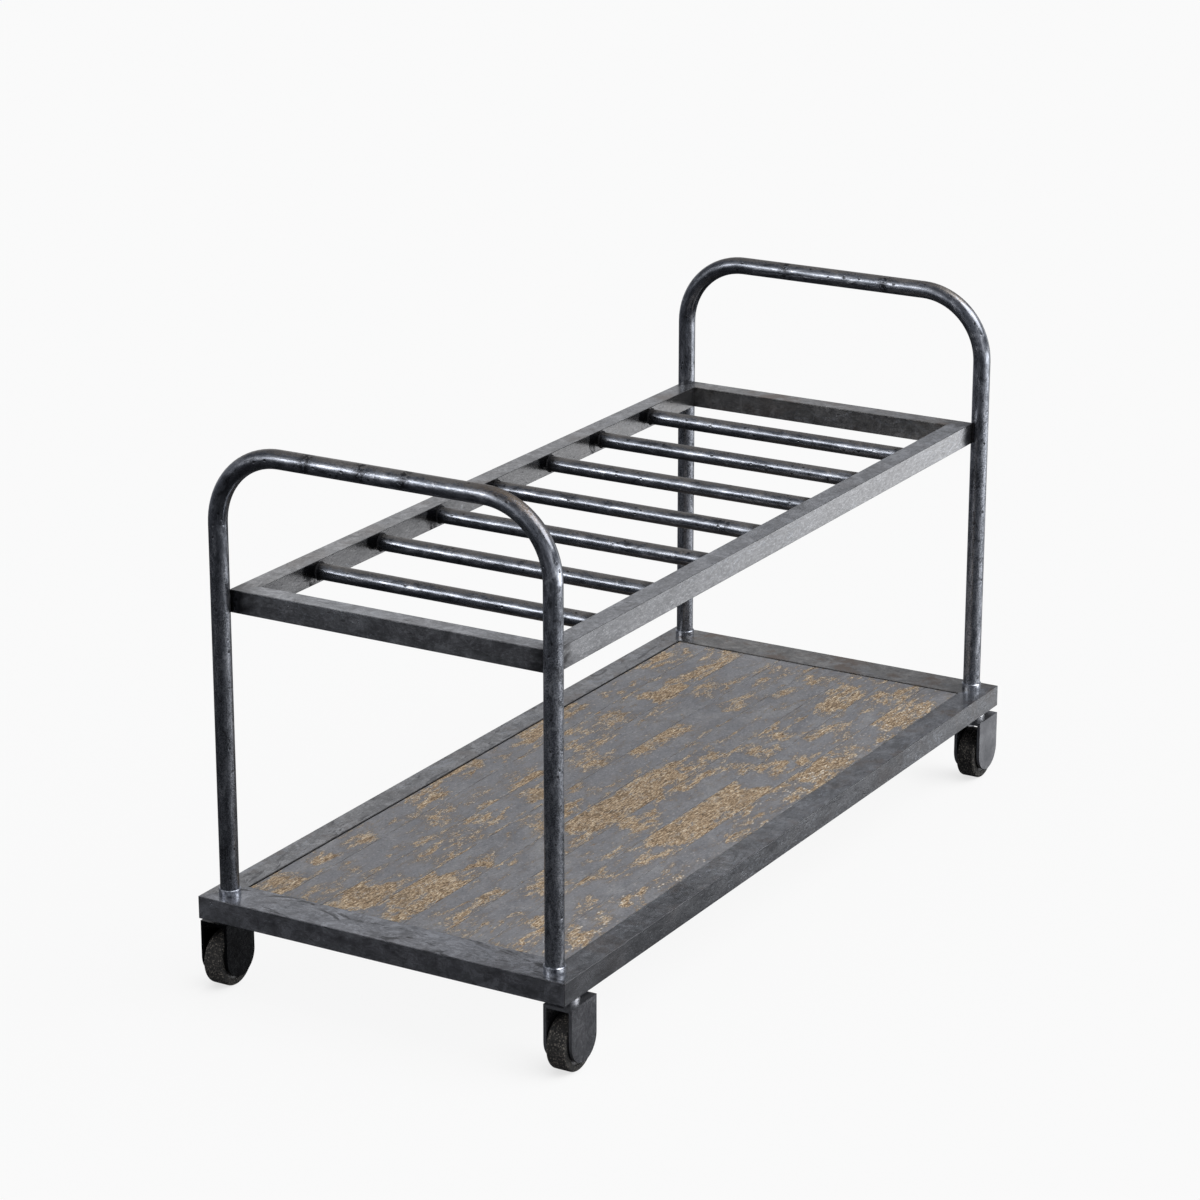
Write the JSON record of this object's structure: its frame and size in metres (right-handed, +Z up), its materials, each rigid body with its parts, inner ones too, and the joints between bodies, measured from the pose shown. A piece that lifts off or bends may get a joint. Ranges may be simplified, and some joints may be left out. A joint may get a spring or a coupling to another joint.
{
  "type": "rolling scaffold platform",
  "caption": "Low rolling scaffold cart: boarded platform on swivel casters, bent-tube end hoops and a raised rack of tube rungs.",
  "frame": {"origin": "on the floor, under the centre of the platform", "axes": "+X to the right across the platform, +Y to the rear along it, +Z up"},
  "size_m": [0.762, 1.72, 1.01],
  "materials": {
    "platform_rail_paint": "semi-gloss grey paint, brushed and stained",
    "deck_board_paint": "satin grey paint worn through to tan wood",
    "bearer_steel": "matt dark paint",
    "zinc_screw": "zinc plated",
    "block_steel": "mill finish",
    "bearing_steel": "turned bright steel",
    "hoop_tube_metal": "semi-gloss gunmetal, pitted",
    "collar_steel": "hammered bare steel",
    "rack_rail_paint": "semi-gloss grey paint, brushed and stained",
    "rung_tube_metal": "semi-gloss gunmetal with brown stains",
    "weld_metal": "rough dark bead",
    "fork_paint": "satin black paint",
    "axle_paint": "satin black paint",
    "bush_bronze": "turned bronze",
    "hub_iron": "sand cast, painted",
    "tyre_rubber": "rough worn rubber"
  },
  "bodies": {
    "frame": {"platform_rail_front": "platform_rail_paint", "platform_rail_rear": "platform_rail_paint", "platform_rail_left": "platform_rail_paint", "platform_rail_right": "platform_rail_paint", "deck_plank_1": "deck_board_paint", "deck_plank_2": "deck_board_paint", "deck_plank_3": "deck_board_paint", "deck_plank_4": "deck_board_paint", "deck_plank_5": "deck_board_paint", "deck_plank_6": "deck_board_paint", "deck_plank_7": "deck_board_paint", "deck_plank_8": "deck_board_paint", "deck_bearers": "bearer_steel", "deck_screws": "zinc_screw", "corner_blocks": "block_steel", "swivel_races": "bearing_steel", "stem_snap_rings": "bearing_steel", "hoop_front": "hoop_tube_metal", "hoop_rear": "hoop_tube_metal", "post_collar_front_left": "collar_steel", "post_collar_front_right": "collar_steel", "post_collar_rear_left": "collar_steel", "post_collar_rear_right": "collar_steel", "rack_rail_front": "rack_rail_paint", "rack_rail_rear": "rack_rail_paint", "rack_rail_left": "rack_rail_paint", "rack_rail_right": "rack_rail_paint", "rack_rung_1": "rung_tube_metal", "rack_rung_2": "rung_tube_metal", "rack_rung_3": "rung_tube_metal", "rack_rung_4": "rung_tube_metal", "rack_rung_5": "rung_tube_metal", "rack_rung_6": "rung_tube_metal", "rack_rung_7": "rung_tube_metal", "rack_welds": "weld_metal"},
    "caster_front_left": {"caster_fork_front_left": "fork_paint", "caster_stem_front_left": "bearing_steel", "wheel_axle_front_left": "axle_paint", "wheel_bush_front_left": "bush_bronze"},
    "wheel_front_left": {"wheel_hub_front_left": "hub_iron", "wheel_tyre_front_left": "tyre_rubber"},
    "caster_front_right": {"caster_fork_front_right": "fork_paint", "caster_stem_front_right": "bearing_steel", "wheel_axle_front_right": "axle_paint", "wheel_bush_front_right": "bush_bronze"},
    "wheel_front_right": {"wheel_hub_front_right": "hub_iron", "wheel_tyre_front_right": "tyre_rubber"},
    "caster_rear_left": {"caster_fork_rear_left": "fork_paint", "caster_stem_rear_left": "bearing_steel", "wheel_axle_rear_left": "axle_paint", "wheel_bush_rear_left": "bush_bronze"},
    "wheel_rear_left": {"wheel_hub_rear_left": "hub_iron", "wheel_tyre_rear_left": "tyre_rubber"},
    "caster_rear_right": {"caster_fork_rear_right": "fork_paint", "caster_stem_rear_right": "bearing_steel", "wheel_axle_rear_right": "axle_paint", "wheel_bush_rear_right": "bush_bronze"},
    "wheel_rear_right": {"wheel_hub_rear_right": "hub_iron", "wheel_tyre_rear_right": "tyre_rubber"}
  },
  "joints": [
    {"name": "swivel_front_left", "type": "hinge", "parent": "frame", "child": "caster_front_left", "pos_m": [-0.353, -0.806, 0.138], "axis": [0, 0, 1], "continuous": true},
    {"name": "spin_front_left", "type": "hinge", "parent": "caster_front_left", "child": "wheel_front_left", "pos_m": [-0.353, -0.806, 0.05], "axis": [1, 0, 0], "continuous": true},
    {"name": "swivel_front_right", "type": "hinge", "parent": "frame", "child": "caster_front_right", "pos_m": [0.353, -0.806, 0.138], "axis": [0, 0, 1], "continuous": true},
    {"name": "spin_front_right", "type": "hinge", "parent": "caster_front_right", "child": "wheel_front_right", "pos_m": [0.353, -0.806, 0.05], "axis": [1, 0, 0], "continuous": true},
    {"name": "swivel_rear_left", "type": "hinge", "parent": "frame", "child": "caster_rear_left", "pos_m": [-0.353, 0.806, 0.138], "axis": [0, 0, 1], "continuous": true},
    {"name": "spin_rear_left", "type": "hinge", "parent": "caster_rear_left", "child": "wheel_rear_left", "pos_m": [-0.353, 0.806, 0.05], "axis": [1, 0, 0], "continuous": true},
    {"name": "swivel_rear_right", "type": "hinge", "parent": "frame", "child": "caster_rear_right", "pos_m": [0.353, 0.806, 0.138], "axis": [0, 0, 1], "continuous": true},
    {"name": "spin_rear_right", "type": "hinge", "parent": "caster_rear_right", "child": "wheel_rear_right", "pos_m": [0.353, 0.806, 0.05], "axis": [1, 0, 0], "continuous": true}
  ]
}
